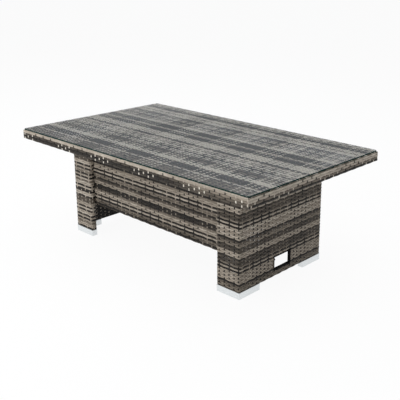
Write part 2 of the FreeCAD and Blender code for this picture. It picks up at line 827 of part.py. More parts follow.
def make_gas_spring():
    bore = "piston_rod_radius + pin_clearance"
    keep(
        turned(
            "gas_cylinder",
            [
                (bore, "cylinder_bottom"),
                ("cylinder_radius", "cylinder_bottom"),
                ("cylinder_radius", "rail_under"),
                ("stud_radius", "rail_under"),
                ("stud_radius", "stud_top"),
                ("0", "stud_top"),
                ("0", "bore_top"),
                ("bore_radius", "bore_top"),
                ("bore_radius", "seal_top"),
                (bore, "seal_top"),
            ],
        ),
        "gas_cylinder",
    )
    nut = hexagon("nut_block", "z", ("0", "0", "stud_top - nut_height"), "nut_radius", "nut_height")
    nut_bore = hole(
        "nut_bore",
        "z",
        ("0", "0", "stud_top - nut_height"),
        "stud_radius + pin_clearance",
        "nut_height",
    )
    keep(cut("nut", nut, [nut_bore]), "cylinder_nut")
    piston_radius = "bore_radius - pin_clearance"
    keep(
        turned(
            "piston_rod",
            [
                ("valve_bore_radius", "channel_top"),
                ("piston_rod_radius", "channel_top"),
                ("piston_rod_radius", "piston_under"),
                (piston_radius, "piston_under"),
                (piston_radius, "piston_top"),
                ("0", "piston_top"),
                ("0", "valve_bore_top"),
                ("valve_bore_radius", "valve_bore_top"),
            ],
        ),
        "piston_rod",
    )
    edge = "valve_pin_radius"
    keep(
        turned(
            "release_head",
            [
                (bore, "channel_top"),
                ("head_radius", "channel_top"),
                ("head_radius", f"channel_top + head_height - {edge}"),
                (f"head_radius - {edge}", "channel_top + head_height"),
                (bore, "channel_top + head_height"),
            ],
        ),
        "release_head",
    )
    keep(
        turned(
            "release_pin",
            [
                ("0", "valve_pin_bottom"),
                ("valve_pin_radius / 2", "valve_pin_bottom"),
                ("valve_pin_radius", "valve_pin_bottom + valve_pin_radius / 2"),
                ("valve_pin_radius", "valve_pin_top"),
                ("0", "valve_pin_top"),
            ],
        ),
        "release_pin",
    )
    keep(
        turned(
            "valve_spring",
            [
                ("valve_pin_radius - valve_spring_wire", "valve_pin_top"),
                ("valve_pin_radius", "valve_pin_top"),
                ("valve_pin_radius", "valve_bore_top"),
                ("valve_pin_radius - valve_spring_wire", "valve_bore_top"),
            ],
        ),
        "valve_spring",
    )


def slotted_arm(name, x_spot, pivot_z, end_z, sign):
    """An upright flat arm from a pivot to a slotted end: sign says whether the end is above."""
    reach = both("lever_plate / 2")
    low, high = (end_z, pivot_z) if sign < 0 else (pivot_z, end_z)
    arm = box(f"{name}_arm", around(x_spot, "lever_arm_width"), reach, (low, high))
    spot = (x_spot, "-lever_plate / 2", end_z)
    tip = cylinder(f"{name}_tip", "y", spot, "lever_end_radius", "lever_plate")
    slot_width = "2 * (rod_pin_radius + slot_clearance)"
    inner = f"({end_z}) - ({sign}) * (rod_pin_radius + slot_inward)"
    outer = f"({end_z}) + ({sign}) * (rod_pin_radius + slot_outward)"
    slot_z = (inner, outer) if sign > 0 else (outer, inner)
    slot = box(f"{name}_slot", around(x_spot, slot_width), both("lever_plate"), slot_z)
    return [arm, tip], slot


def make_release_lever():
    """The bell crank: a hub on its pin, a nose under the valve pin and a slotted arm down to the rod."""
    pieces, slot = slotted_arm("lever", "lever_x", "lever_z", "rod_z", -1)
    reach = "channel_half - lever_clearance"
    start = ("lever_x", f"-({reach})", "lever_z")
    pieces.append(cylinder("lever_hub", "y", start, "lever_hub_radius", f"2 * ({reach})"))
    pieces.append(
        box(
            "lever_nose_arm",
            ("lever_x", "0"),
            both("lever_plate / 2"),
            around("lever_z", "2 * lever_nose_radius"),
        )
    )
    spot = ("0", "-lever_plate / 2", "lever_z")
    pieces.append(cylinder("lever_nose", "y", spot, "lever_nose_radius", "lever_plate"))
    bore = hole("lever_bore", "y", start, "pivot_pin_radius + pin_clearance", f"2 * ({reach})")
    keep(cut("lever", fuse("lever_solid", pieces), [slot, bore]), "release_lever")


def make_pull_rod():
    """A round rod with a fork at each end, and a pin across each fork."""
    solids = [
        cylinder(
            "rod_shaft",
            "x",
            ("lever_x + fork_throat", "0", "rod_z"),
            "pull_rod_radius",
            "pedal_x - lever_x - 2 * fork_throat",
        )
    ]
    gaps = []
    pins = []
    for x_spot, sign in (("lever_x", 1), ("pedal_x", -1)):
        tip = f"({x_spot}) - ({sign}) * fork_tip"
        back = f"({x_spot}) + ({sign}) * (fork_throat + fork_bridge)"
        throat = f"({x_spot}) + ({sign}) * fork_throat"
        past = f"({x_spot}) - ({sign}) * (fork_tip + overrun)"
        block_x = (tip, back) if sign > 0 else (back, tip)
        gap_x = (past, throat) if sign > 0 else (throat, past)
        height = around("rod_z", "fork_height")
        solids.append(box("fork_block", block_x, both("fork_half_width"), height))
        tall = around("rod_z", "fork_height + overrun")
        gaps.append(box("fork_gap", gap_x, both("fork_half_gap"), tall))
        start = (x_spot, "-fork_half_width", "rod_z")
        radius = "rod_pin_radius + pin_clearance"
        gaps.append(hole("fork_hole", "y", start, radius, "2 * fork_half_width"))
        start = (x_spot, "-fork_half_width - rod_pin_end", "rod_z")
        length = "2 * (fork_half_width + rod_pin_end)"
        pins.append(cylinder("rod_pin", "y", start, "rod_pin_radius", length))
    keep(cut("rod", fuse("rod_solid", solids), gaps), "pull_rod")
    keep(group("rod_pin_set", pins), "rod_pins")


def make_pedal():
    """A bent plate with a hub, and a slotted crank that stands up to the pull rod."""
    reach = "channel_half - lever_clearance"
    body = new_body("pedal_plate_body")
    x0, z0 = "pedal_x", "pedal_pivot_height"
    bend = "tread_reach - tread_length"
    points = [
        (f"{x0} + pedal_plate", f"{z0}"),
        (f"{x0} + {bend}", f"{z0} - tread_drop"),
        (f"{x0} + tread_reach", f"{z0} - tread_drop"),
        (f"{x0} + tread_reach", f"{z0} - tread_drop - pedal_plate"),
        (f"{x0} + {bend} - pedal_plate", f"{z0} - tread_drop - pedal_plate"),
        (f"{x0} - pedal_plate", f"{z0}"),
    ]
    sketch = outline(body, "pedal_side", "XZ_Plane", points)
    pad(body, "pedal_bend", sketch, f"2 * ({reach})", "Symmetric")
    pieces, slot = slotted_arm("crank", "pedal_x", "pedal_pivot_height", "rod_z", 1)
    start = ("pedal_x", f"-({reach})", "pedal_pivot_height")
    hub = cylinder("pedal_hub", "y", start, "pedal_hub_radius", f"2 * ({reach})")
    bore = hole("pedal_bore", "y", start, "pivot_pin_radius + pin_clearance", f"2 * ({reach})")
    keep(cut("pedal", fuse("pedal_solid", [body, hub, *pieces]), [slot, bore]), "pedal_lever")

    tread_z = f"{z0} - tread_drop"
    pad_x = (f"{x0} + {bend} + tread_pad_margin", f"{x0} + tread_reach")
    pad_y = both(f"{reach} - tread_pad_margin")
    pieces = [box("tread_block", pad_x, pad_y, (tread_z, f"{tread_z} + tread_pad_thickness"))]
    for share in RIB_PLACE_SHARES:
        middle = f"{pad_x[0]} + {share} * (tread_length - tread_pad_margin)"
        rib_z = f"{tread_z} + tread_pad_thickness"
        height = (rib_z, f"{rib_z} + tread_rib_height")
        pieces.append(box("tread_rib", around(middle, "tread_rib_width"), pad_y, height))
    keep(fuse("tread_rubber", pieces), "tread_pad")


def make_bracket():
    """A back plate on the end panel with two ears that reach in to the pedal's pivot."""
    body = new_body("bracket_block")
    x0, z0 = "pedal_x", "pedal_pivot_height"
    top = "bracket_bottom + bracket_height"
    points = [
        ("bracket_x + bracket_plate", "bracket_bottom"),
        ("bracket_x + bracket_plate", top),
        ("bracket_x - bracket_ear_radius", top),
        (f"{x0} - bracket_ear_radius", f"{z0} + bracket_ear_lift"),
        (f"{x0} - bracket_ear_radius", f"{z0} - bracket_ear_radius"),
        (f"{x0} + bracket_ear_radius", f"{z0} - bracket_ear_radius"),
        ("bracket_x", "bracket_bottom"),
    ]
    side = outline(body, "bracket_side", "XZ_Plane", points)
    pad(body, "bracket_solid", side, "2 * (channel_half + bracket_ear)", "Symmetric")
    inside = rectangle(
        (f"{x0} - bracket_ear_radius - overrun", "bracket_x"),
        (f"{z0} - bracket_ear_radius - overrun", f"{top} + overrun"),
    )
    gap = outline(body, "bracket_gap", "XZ_Plane", inside)
    pocket(body, "bracket_hollow", gap, "2 * channel_half", "Symmetric")
    start = (x0, "-(channel_half + bracket_ear)", z0)
    radius = "pivot_pin_radius + pin_clearance"
    tools = [hole("bracket_pin_hole", "y", start, radius, "2 * (channel_half + bracket_ear)")]
    tools += bolt_holes(bracket_bolts())
    keep(cut("bracket", body, tools), "pedal_bracket")


def make_pivot_pins():
    """The pins of the pedal and of the release lever are alike: a head in front and a plain end."""
    pins = []
    for x_spot, z_spot in (("pedal_x", "pedal_pivot_height"), ("lever_x", "lever_z")):
        start = (x_spot, "-channel_side", z_spot)
        head = cylinder("pivot_head", "-y", start, "pivot_pin_head_radius", "pivot_pin_head")
        length = "2 * channel_side + pivot_pin_end"
        shank = cylinder("pivot_shank", "y", start, "pivot_pin_radius", length)
        pins.append(fuse("pivot_pin", [head, shank]))
    keep(group("pivot_pin_set", pins), "pivot_pins")


def make_liner():
    """The black frame that lines the foot hole, a little proud of the weave; the panel is wider open inside."""
    x_span = ("base_x - liner_depth", "base_x + liner_proud")
    outer = box(
        "liner_block", x_span, both("hole_side"), ("hole_bottom - liner_wall", "hole_top + liner_wall")
    )
    inner_x = ("base_x - liner_depth - overrun", "base_x + liner_proud + overrun")
    inner = box("liner_hollow", inner_x, both("hole_width / 2"), ("hole_bottom", "hole_top"))
    keep(cut("liner", outer, [inner]), "foot_hole_liner")


def corner_outline(end, side, inset, arm_x, arm_y, width):
    """The plan of an L round one corner of the base, its outer faces inset from the weave."""

    def spot(back_x, back_y):
        x_spot = signed(end, f"base_x - ({inset}) - ({back_x})")
        return x_spot, signed(side, f"base_y - ({inset}) - ({back_y})")

    return [
        spot("0", "0"),
        spot(arm_x, "0"),
        spot(arm_x, width),
        spot(width, width),
        spot(width, arm_y),
        spot("0", arm_y),
    ]


def make_feet():
    glides = []
    arm_x = "leg_width - 2 * foot_inset"
    width = "panel_thickness - 2 * foot_inset"
    wall = "foot_wall"
    for corner, (end, side) in CORNERS.items():
        body = new_body(f"foot_cap_{corner}")
        plan = corner_outline(end, side, "foot_inset", arm_x, "foot_arm", width)
        sketch = outline(body, f"cap_plan_{corner}", "XY_Plane", plan, "glide_thickness")
        pad(body, f"cap_block_{corner}", sketch, "foot_height - glide_thickness")
        plan = corner_outline(
            end,
            side,
            f"foot_inset + {wall}",
            f"{arm_x} - 2 * {wall}",
            f"foot_arm - 2 * {wall}",
            f"{width} - 2 * {wall}",
        )
        sketch = outline(body, f"cap_inside_{corner}", "XY_Plane", plan, "foot_height")
        pocket(body, f"cap_hollow_{corner}", sketch, "foot_height - cap_floor_top")
        keep(body, f"foot_cap_{corner}")
        middle = "foot_inset + (panel_thickness - 2 * foot_inset) / 2"
        reaches = [
            ("0", "0"),
            (f"{arm_x} - {width}", "0"),
            ("0", f"foot_arm - {width}"),
        ]
        for back_x, back_y in reaches:
            spot = (
                signed(end, f"base_x - ({middle}) - ({back_x})"),
                signed(side, f"base_y - ({middle}) - ({back_y})"),
                "0",
            )
            glides.append(cylinder("glide", "z", spot, "glide_radius", "glide_thickness"))
    keep(group("glide_set", glides), "glide_pads")


def check_document():
    """Stops if any object failed, or if a sub-part has no sound shape."""
    for item in doc.Objects:
        if "Invalid" in item.State or "Error" in item.State:
            raise RuntimeError(f"{item.Name} is in state {item.State}")
    for item in sub_parts:
        if item.Shape.isNull() or not item.Shape.isValid():
            raise RuntimeError(f"{item.Label} has no sound shape")
        if item.Shape.Volume <= 0 or not item.Shape.Solids:
            raise RuntimeError(f"{item.Label} holds no solid")


def write_parts():
    os.makedirs("parts", exist_ok=True)
    for item in sub_parts:
        item.Shape.exportStep(f"parts/{item.Label}.step")
        print(item.Label, len(item.Shape.Solids), round(item.Shape.Volume))
    stroke = value("piston_under - seal_top")
    print("stroke left in the gas spring", round(stroke, 1))
    print("guide left round the post at full lift", round(value("guide_top - post_bottom") - stroke, 1))


fill_sheet()
make_glass()
make_top_weave()
make_top_frame()
make_posts()
make_guides()
for end_name in ENDS:
    make_end(end_name)
for corner_name in CORNERS:
    make_leg(corner_name)
for skirt_name in SIDES:
    make_skirt(skirt_name)
make_beams()
make_lift_beam()
make_gas_spring()
make_release_lever()
make_pull_rod()
make_pedal()
make_bracket()
make_pivot_pins()
make_bolts()
make_liner()
make_feet()
doc.recompute()
check_document()
write_parts()
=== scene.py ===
"""Looks of the rising table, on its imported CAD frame.

The flat woven strands of the top, the ends, the legs and the skirts are modelled one by one. They run
over and under flat stakes, and their dark, middle and light tones make the bands of the weave.
The frames, the gas spring, the pedal gear, the glass and the feet are the CAD's own solids with
finishes of their own. All lengths are in metres.
"""

import json
import math
import random

import bmesh
import bpy
from mathutils import Matrix, Vector


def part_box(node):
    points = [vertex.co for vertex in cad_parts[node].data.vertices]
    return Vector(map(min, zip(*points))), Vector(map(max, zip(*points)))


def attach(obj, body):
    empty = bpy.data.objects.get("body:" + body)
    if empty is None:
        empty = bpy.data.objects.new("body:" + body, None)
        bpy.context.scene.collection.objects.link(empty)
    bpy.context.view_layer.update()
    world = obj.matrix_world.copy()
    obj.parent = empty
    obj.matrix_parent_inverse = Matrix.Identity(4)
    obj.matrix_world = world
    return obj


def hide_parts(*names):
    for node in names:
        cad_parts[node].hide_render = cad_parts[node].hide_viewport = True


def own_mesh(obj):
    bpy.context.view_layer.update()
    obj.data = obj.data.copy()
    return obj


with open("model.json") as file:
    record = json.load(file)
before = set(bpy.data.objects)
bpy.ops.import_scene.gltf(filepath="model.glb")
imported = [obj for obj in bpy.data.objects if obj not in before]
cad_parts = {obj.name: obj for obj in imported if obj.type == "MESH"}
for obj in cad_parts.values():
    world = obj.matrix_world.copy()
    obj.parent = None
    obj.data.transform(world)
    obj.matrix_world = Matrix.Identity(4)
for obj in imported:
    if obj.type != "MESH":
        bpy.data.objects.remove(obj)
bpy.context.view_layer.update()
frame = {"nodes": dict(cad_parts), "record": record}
chance = random.Random(7)

# The weave: flat strands that run over and under flat stakes.
STRAND_WIDTH = 0.0072
STRAND_THICKNESS = 0.0014
STAKE_WIDTH = 0.0066
STAKE_THICKNESS = 0.0011
WAVE = 0.0011
WEAVE_DEPTH = 0.0018
SECTION_SIDES = 6
HEXAGON_HEIGHT = 0.87  # of its radius, so that a flat section keeps its full thickness
STEPS_PER_STAKE = 4
CORNER_STEPS = 6
MERGE_DISTANCE = 0.00001
TOP_MARGIN = 0.0035
TONES = {"L": 0.98, "T": 0.70, "M": 0.41, "B": 0.14, "D": -0.05}
TONE_JITTER = 0.12
STAKE_GROUP = 5
STAKE_DARK = -0.2

# Painted shade on the faces that look in under the table: their strand tones are pushed nearly black.
INSIDE_SHADE_SHARE = 0.35
INSIDE_SHADE_SHIFT = -0.5
INSIDE_END_MARGIN = 0.012
INSIDE_SIDE_MARGIN = 0.004

# The top's deck.
TOP_ROWS = (
    "TMMTMMTMM LTDDDDDM LLLL DTDTMDM DLDLDD LMLLMLMLTM DD LLTLLLL MDDDDM TT MDDDDDM LLL MTDTDD MLDLDTDD"
    "MLTLLMLLLL MDDD TLMLLT"
)
DECK_STRAND_WIDTH = 0.0075
DECK_STAKE_WIDTH = 0.0100
DECK_STAKE_DARK = -0.25
DECK_WAVE_SHARE = 0.8
DECK_STEPS_PER_STAKE = 3
DECK_PITCH = 0.0267
DECK_FIRST_STAKE = -0.1235
DECK_DEPTH = 0.0009
DECK_END_MARGIN = 0.0035
DECK_SIDE_MARGIN = 0.009
DECK_TONE_SHARE = 2.0
DECK_TONE_SHIFT = -0.36
DECK_JITTER_SHARE = 2.6

# The top's rim: each row's height, tilt in degrees and inset, and the distances where stake numbers lie.
RIM_FRONT_ROWS = "BDBLL"
RIM_SIDE_ROWS = "DMLLM"
RIM_NEAR_ROWS = "MMTLL"
RIM_ROWS = (
    (0.0047, 0, 0),
    (0.0142, 0, 0),
    (0.0237, 0, 0),
    (0.0330, 4, 0.0001),
    (0.0388, 62, 0.0022),
)
RIM_KNOTS = (
    (0, -19.7), (0.048, -18), (0.085, -17), (0.300, -10), (0.385, -7), (0.548, -2), (0.605, 0), (0.895, 10),
    (1.186, 20), (1.396, 28), (1.450, 29.9), (1.511, 33), (1.598, 36), (1.709, 40), (1.824, 44), (1.941, 48),
    (2.057, 52), (2.152, 55), (2.243, 58), (2.30, 60), (3.75, 110.5), (4.6, 140.3),
)
RIM_RADIUS = 0.006
RIM_STRAND_WIDTH = 0.0092
RIM_EDGE_STRAND_WIDTH = 0.0062
RIM_NEAR_START = 0.28
RIM_NEAR_BLEND = 0.22
RIM_STAKE_BOTTOM = 0.0008
RIM_STAKE_SPLIT = 0.0285
RIM_STAKE_TOP = 0.0022
# Tone of the top's light stakes: a light stake with a painted highlight on it, brighter than any strand, for
# the rim's glints. The deck's light stakes use it too.
STAKE_LIGHT_AND_GLINT = 1.4
RIM_UNEVEN_GROUPS = ((-19, -17), (-10, -7))
RIM_EVEN_START = -2
RIM_GROUP_SHIFT = 2
RIM_SHIFT_START = 33
RIM_LATER_SHIFT = 4
# Caps on that painted highlight: lower for the stakes on the rim's ends and for all its upper stakes.
RIM_SIDE_GLINT_LIMIT = 1.15
RIM_UPPER_GLINT_LIMIT = 1.05

# The ends with their legs.
END_ROWS = {
    "right": "MTTM D LLLLLL DLDT BBMB LLL BBB TTM D LLLLLL DLDT BBMB LLL BMB MMM D LLLL",
    "left": "DLLTLDLDLLDL DLLMMMDLLDDL DLLMLDLDTTDL DLLMMMDLLDDL",
}
END_STAKES = 60
END_START = -0.6
END_STOP = 59.4
END_INSIDE_NUMBERS = {"right": (32, 35.6, 54.6, 58.2, 59.4), "left": (31.4, 35, 54, 57.8, 59.4)}
END_STAKE_LIGHT = {"right": 0.66, "left": 1.05}
END_GROUP_SHIFT = {"right": -8, "left": -2}
END_EXTRA_DARK = {"right": 5, "left": 0}
END_RADIUS = 0.005
END_FIRST_ROW = {"right": 0.0020, "left": 0.0062}
END_ROW_GAP = {"right": 0.0078, "left": 0.0089}
END_STRAND_WIDTH = {"right": 0.0077, "left": 0.0088}
LOWEST_ROW = 0.0033
LOWEST_STRAND_WIDTH = 0.0056
EDGE_DEPTH = 0.0042
EDGE_TILT = -60
EDGE_HEIGHT = 0.0022
HALF_ROW = 0.0036
HOLE_FLARE = 0.015
HOLE_INNER_SILL = 0.020
HOLE_STAKE_GAP = 0.0005
NEAR_HOLE = 0.004
END_STAKE_BOTTOM = 0.002
END_STAKE_TOP = 0.001
NUMBER_STEPS = 100

# The long sides.
SKIRT_ROWS = "DMTDLD LLT DDD LLM DTT DLD LLT DDM LLD LDL"
SKIRT_FIRST_NUMBER = -13.7
SKIRT_LAST_NUMBER = 15.85
SKIRT_KNOTS = ((-0.306, -10), (-0.158, -5), (-0.015, 0), (0.126, 5), (0.261, 10), (0.395, 15))
SKIRT_OVERLAP = 0.001
SKIRT_STRAND_WIDTH = 0.0084
SKIRT_FIRST_ROW = 0.0098
SKIRT_ROW_GAP = 0.00856
# Painted shade: the long sides' strand tones are scaled down because they sit back under the top's overhang.
SKIRT_SHADE_SHARE = 0.93
SKIRT_STAKE_LIGHT = 0.85
SKIRT_DARK_GROUPS = ((-12, -8), (-2, 2), (7, 11))
SKIRT_STAKE_MARGIN = 0.004
UNDER_STRAND_WIDTH = 0.0086
UNDER_STRAND_INSET = 0.0050
UNDER_STRAND_HEIGHT = 0.0022
UNDER_FIRST_STAKE = -0.048
UNDER_PITCH = 0.0288

# The spring of the valve.
SPRING_WIRE = 0.0006
SPRING_WIRE_SIDES = 8
SPRING_TURNS = 4
SPRING_STEPS_PER_TURN = 24

# The room.
FLOOR_REACH = 30
FLOOR_GLOW_SHARE = 0.94
WORLD_RAMP = (
    (0.10, (1, 1, 1, 1)),
    (0.225, (0.21, 0.22, 0.23, 1)),
    (0.36, (0.33, 0.345, 0.365, 1)),
)


def letters(rows):
    """The tones of the rows, from the first to the last."""
    return [TONES[letter] for letter in rows.replace(" ", "")]


class Route:
    """A path in plan for the strands of one panel, with stake numbers along it."""

    def __init__(self, corners, radius, closed, knots):
        self.points = []
        self.closed = closed
        count = len(corners)
        for index, corner in enumerate(corners):
            here = Vector(corner)
            if not closed and index in (0, count - 1):
                self.points.append(here)
                continue
            before = (Vector(corners[index - 1]) - here).normalized()
            after = (Vector(corners[(index + 1) % count]) - here).normalized()
            start = here + before * radius
            centre = start + after * radius
            for step in range(CORNER_STEPS + 1):
                turn = math.radians(90 / CORNER_STEPS * step)
                reach = after * math.cos(turn) + before * math.sin(turn)
                self.points.append(centre - reach * radius)
        if closed:
            self.points.append(self.points[0].copy())
        self.marks = [0.0]
        for first, second in zip(self.points, self.points[1:]):
            self.marks.append(self.marks[-1] + (second - first).length)
        scale = self.marks[-1] / knots[-1][0]
        self.knots = [(distance * scale, number) for distance, number in knots]

    def distance(self, number):
        """How far along the route a stake number lies."""
        for (d0, n0), (d1, n1) in zip(self.knots, self.knots[1:]):
            if number <= n1 or (d1, n1) == self.knots[-1]:
                return d0 + (d1 - d0) * (number - n0) / (n1 - n0)

    def at(self, number):
        """The point in plan at a stake number and the direction that faces out of the panel."""
        if self.closed:
            first, last = self.knots[0][1], self.knots[-1][1]
            number = first + (number - first) % (last - first)
        distance = min(max(self.distance(number), 0.0), self.marks[-1])
        index = 0
        while index < len(self.marks) - 2 and self.marks[index + 1] < distance:
            index += 1
        first, second = self.points[index], self.points[index + 1]
        share = (distance - self.marks[index]) / (self.marks[index + 1] - self.marks[index])
        along = (second - first).normalized()
        point = first.lerp(second, share)
        return Vector((point.x, point.y, 0)), Vector((along.y, -along.x, 0))


def new_piece(name, bm, body, material):
    """Turns a bmesh into a smooth piece that rides on a CAD body."""
    mesh = bpy.data.meshes.new(name)
    for face in bm.faces:
        face.smooth = True
    bm.to_mesh(mesh)
    bm.free()
    piece = bpy.data.objects.new(name, mesh)
    bpy.context.collection.objects.link(piece)
    mesh.materials.append(material)
    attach(piece, body)
    return piece


def new_weave():
    """An empty bmesh with the layers that the strand material reads."""
    bm = bmesh.new()
    bm.loops.layers.uv.new("along")
    bm.faces.layers.float.new("tone")
    return bm


def set_tone(bm, faces, tone):
    """Writes one tone on some faces."""
    layer = bm.faces.layers.float["tone"]
    for face in faces:
        face[layer] = tone


def roll_strand(place, steps, closed):
    """Rolls a flat grid into one strand: place(share, turn) gives where each of its points goes."""
    bm = new_weave()
    uv = bm.loops.layers.uv["along"]
    bmesh.ops.create_grid(bm, x_segments=steps, y_segments=SECTION_SIDES, size=0.5)
    for face in bm.faces:
        for loop in face.loops:
            loop[uv].uv = (loop.vert.co.x + 0.5, loop.vert.co.y + 0.5)
    for vert in bm.verts:
        vert.co = place(vert.co.x + 0.5, (vert.co.y + 0.5) * math.tau)
    bmesh.ops.remove_doubles(bm, verts=list(bm.verts), dist=MERGE_DISTANCE)
    if not closed:
        rims = [edge for edge in bm.edges if edge.is_boundary]
        bmesh.ops.holes_fill(bm, edges=rims, sides=SECTION_SIDES)
    bmesh.ops.recalc_face_normals(bm, faces=list(bm.faces))
    return keep_pattern(bm)


def section(turn, width):
    """Across and outward offsets of a point on the flat hexagonal section of a strand."""
    return math.cos(turn) * width / 2, math.sin(turn) * STRAND_THICKNESS / 2 / HEXAGON_HEIGHT


def strand_on_route(route, start, stop, over, closed, tilt=0.0, depth=WEAVE_DEPTH, width=STRAND_WIDTH):
    """A level strand along a route, at height nought, over the stakes of one parity and under the others."""
    lean = math.radians(tilt)

    def place(share, turn):
        number = start + (stop - start) * share
        point, out = route.at(number)
        wave = WAVE * math.cos(math.pi * (number - over))
        across, outward = section(turn, width)
        outward += wave
        up = Vector((0, 0, 1)) * math.cos(lean) - out * math.sin(lean)
        face = out * math.cos(lean) + Vector((0, 0, 1)) * math.sin(lean)
        return point - out * depth + up * across + face * outward

    return roll_strand(place, round((stop - start) * STEPS_PER_STAKE), closed)


def strand_on_deck(x_span, first_stake, pitch, over, height, width):
    """A strand that lies flat, along X at Y nought."""

    def place(share, turn):
        x = x_span[0] + (x_span[1] - x_span[0]) * share
        number = (x - first_stake) / pitch
        wave = WAVE * DECK_WAVE_SHARE * math.cos(math.pi * (number - over))
        across, outward = section(turn, width)
        return Vector((x, across, height + outward + wave))

    steps = round((x_span[1] - x_span[0]) / pitch * DECK_STEPS_PER_STAKE)
    return roll_strand(place, steps, False)


def keep_pattern(bm):
    """Stores a bmesh of one strand as a mesh to lay again and again."""
    mesh = bpy.data.meshes.new("pattern")
    bm.to_mesh(mesh)
    bm.free()
    return mesh


def lay(bm, pattern, shift, tone):
    """Adds a copy of a pattern strand, moved and given its tone."""
    mesh = pattern.copy()
    mesh.transform(Matrix.Translation(shift))
    mesh.attributes["tone"].data.foreach_set("value", [tone] * len(mesh.polygons))
    bm.from_mesh(mesh)
    bpy.data.meshes.remove(mesh)


def stake(bm, middle, along, out, length, tone, width=STAKE_WIDTH):
    """A straight flat stake behind and in front of which the strands pass."""
    side = along.cross(out)
    turn = Matrix((side, out, along)).transposed().to_4x4()
    size = Matrix.Diagonal((width / 2, STAKE_THICKNESS / 2 / HEXAGON_HEIGHT, 1, 1))
    made = bmesh.ops.create_cone(
        bm, cap_ends=True, segments=SECTION_SIDES, radius1=1, radius2=1, depth=length,
        matrix=Matrix.Translation(middle) @ turn @ size,
    )["verts"]
    faces = {face for vert in made for face in vert.link_faces}
    set_tone(bm, faces, tone)


def upright_stake(bm, place, out, span, tone):
    """An upright stake between two heights."""
    middle = place + Vector((0, 0, (span[0] + span[1]) / 2))
    stake(bm, middle, Vector((0, 0, 1)), out, span[1] - span[0], tone)


def paint_inside_shade(bm):
    """Painted shade: the faces that look in under the table are woven in the same strands, and their tones
    are pushed nearly black.
    """
    layer = bm.faces.layers.float["tone"]
    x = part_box("end_weave_right")[1].x - INSIDE_END_MARGIN
    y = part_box("skirt_weave_back")[1].y - INSIDE_SIDE_MARGIN
    for face in bm.faces:
        middle = face.calc_center_median()
        if abs(middle.x) < x and abs(middle.y) < y:
            face[layer] = INSIDE_SHADE_SHARE * face[layer] + INSIDE_SHADE_SHIFT


def jitter():
    """A small random change of tone."""
    return chance.uniform(-TONE_JITTER, TONE_JITTER)


def in_first_group(number, shift):
    """Whether a stake is in the first of each two groups that follow each other."""
    return (number + shift) % (2 * STAKE_GROUP) < STAKE_GROUP


def end_stake_tone(side, number):
    """Stakes come in turn in five dark ones and five light ones; one leg has five dark ones of its own."""
    dark = in_first_group(number, END_GROUP_SHIFT[side]) or number < END_EXTRA_DARK[side]
    return STAKE_DARK if dark else END_STAKE_LIGHT[side]


def skirt_stake_tone(number):
    """Stakes come in groups of five dark ones with four or five light ones between."""
    dark = any(first <= number <= last for first, last in SKIRT_DARK_GROUPS)
    return STAKE_DARK if dark else SKIRT_STAKE_LIGHT


def rim_stake_tone(number):
    """On the top the groups are five light ones and five dark ones, uneven only at one end. The light ones
    are raised above any strand's tone as a painted highlight for their glints.
    """
    if number < RIM_EVEN_START:
        light = any(first <= number <= last for first, last in RIM_UNEVEN_GROUPS)
    else:
        light = in_first_group(number, RIM_GROUP_SHIFT if number < RIM_SHIFT_START else RIM_LATER_SHIFT)
    return STAKE_LIGHT_AND_GLINT if light else STAKE_DARK


# The finishes: strand colours by tone, then roughness, grain and other values of each plain finish.
STRAND_RAMP = (
    (0.00, (0.006, 0.005, 0.004, 1)),
    (0.15, (0.024, 0.020, 0.016, 1)),
    (0.40, (0.115, 0.095, 0.074, 1)),
    (0.58, (0.235, 0.198, 0.156, 1)),
    (0.75, (0.430, 0.369, 0.300, 1)),
    (1.00, (0.82, 0.76, 0.66, 1)),
)
STRAND_LINES = (14, 9, 1)
TONE_SCALE = 0.6
TONE_START = 0.15
DRIFT_SPREAD = 0.36
LINE_SPREAD = 0.44
STRAND_ROUGHNESS = 0.46
STRAND_ROUGH_SPREAD = 0.16
STRAND_GLOSS = 0.22
STRAND_BUMP = 0.3
GRAIN_ROUGH_SPREAD = 0.16
MOTTLE_TINT = (0.62, 0.62, 0.62, 1)
BUMP_DISTANCE = 0.0002
GLASS_LEVEL_LIMIT = 0.9
GLASS_COLOUR = (0.975, 0.985, 0.985, 1)
GLASS_EDGE_COLOUR = (0.004, 0.030, 0.025, 1)
GLASS_GLOSS = 0.5
GLASS_ROUGHNESS = 0.004
GRAINED_LOOKS = {
    "foot_aluminium": {
        "colour": (0.80, 0.83, 0.84), "roughness": 0.36, "scale": 500, "mottling": 0.1, "bump": 0.06,
        "metallic": 0.85,
    },
    "frame_coat": {
        "colour": (0.022, 0.021, 0.021), "roughness": 0.5, "scale": 700, "mottling": 0.3, "bump": 0.25,
    },
    "black_plastic": {
        "colour": (0.004, 0.004, 0.004), "roughness": 0.5, "scale": 1200, "mottling": 0.3, "bump": 0.2,
        "gloss": 0.05,
    },
    "clear_silicone": {
        "colour": (0.62, 0.65, 0.64), "roughness": 0.35, "scale": 300, "mottling": 0.1, "bump": 0.05,
    },
    "black_rubber": {
        "colour": (0.016, 0.016, 0.016), "roughness": 0.75, "scale": 1500, "mottling": 0.3, "bump": 0.3,
    },
    "plated_steel": {
        "colour": (0.58, 0.58, 0.56), "roughness": 0.34, "scale": 600, "mottling": 0.35, "bump": 0.08,
        "metallic": 1.0,
    },
    "polished_rod": {
        "colour": (0.66, 0.67, 0.68), "roughness": 0.12, "scale": 400, "mottling": 0.1, "bump": 0.02,
        "metallic": 1.0,
    },
    "cylinder_paint": {
        "colour": (0.014, 0.014, 0.015), "roughness": 0.32, "scale": 500, "mottling": 0.25, "bump": 0.06,
        "coat": 0.3,
    },
}


